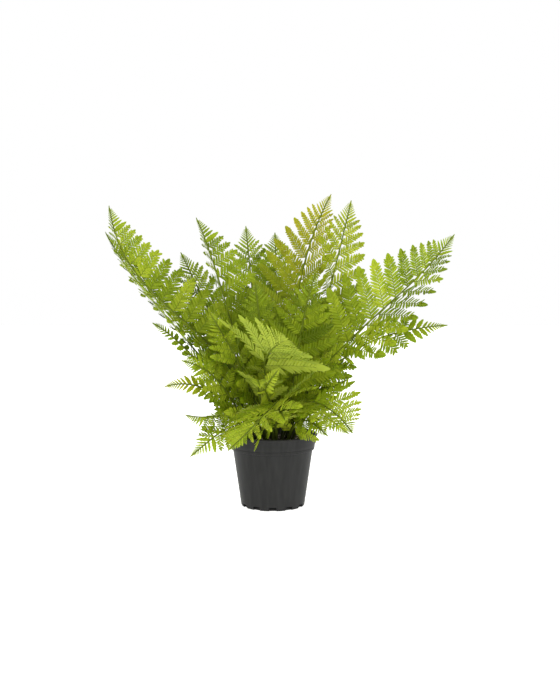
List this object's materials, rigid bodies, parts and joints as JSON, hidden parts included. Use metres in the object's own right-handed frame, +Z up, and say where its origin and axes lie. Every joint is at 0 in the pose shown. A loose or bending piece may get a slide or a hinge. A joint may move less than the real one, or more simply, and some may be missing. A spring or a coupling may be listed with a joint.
{
  "type": "potted fern",
  "caption": "Dense clump of arching twice-divided fern fronds growing in potting mix in a tapered dark plastic nursery pot",
  "frame": {"origin": "middle of the pot's flat base, on the surface that the pot stands on", "axes": "+Z up, along the pot's axis; -Y is the front, the side that the picture shows; +X is the viewer's right"},
  "size_m": [0.462, 0.3412, 0.418],
  "materials": {
    "pot_plastic": "injection-moulded black polypropylene, satin",
    "potting_mix": "moist peat with bark and perlite, matt",
    "leaf": "thin leathery yellow-green blades, satin, letting light through"
  },
  "bodies": {
    "root": {"pot": "pot_plastic", "potting_mix": "potting_mix", "frond_left_high": "leaf", "frond_left_low": "leaf", "frond_left_upright": "leaf", "frond_back_upright": "leaf", "frond_top": "leaf", "frond_right_upright": "leaf", "frond_right_high": "leaf", "frond_right_low": "leaf", "frond_front_left": "leaf", "frond_side_low_left": "leaf", "frond_low_left": "leaf", "frond_front_centre": "leaf", "frond_side_left": "leaf", "frond_front_right": "leaf", "frond_mid_right": "leaf", "frond_mid_left": "leaf", "frond_shoulder_right": "leaf", "frond_shoulder_left": "leaf", "frond_low_right": "leaf", "frond_low_centre": "leaf", "frond_low_shoulder": "leaf", "frond_low_front": "leaf", "frond_spear": "leaf", "frond_mid_centre": "leaf", "frond_side_mid_left": "leaf", "frond_left_middle": "leaf", "frond_side_high_left": "leaf", "frond_low_side_right": "leaf", "frond_back_centre": "leaf", "frond_back_left": "leaf", "frond_back_right": "leaf", "frond_back_low_left": "leaf", "frond_back_low_right": "leaf"}
  },
  "joints": []
}
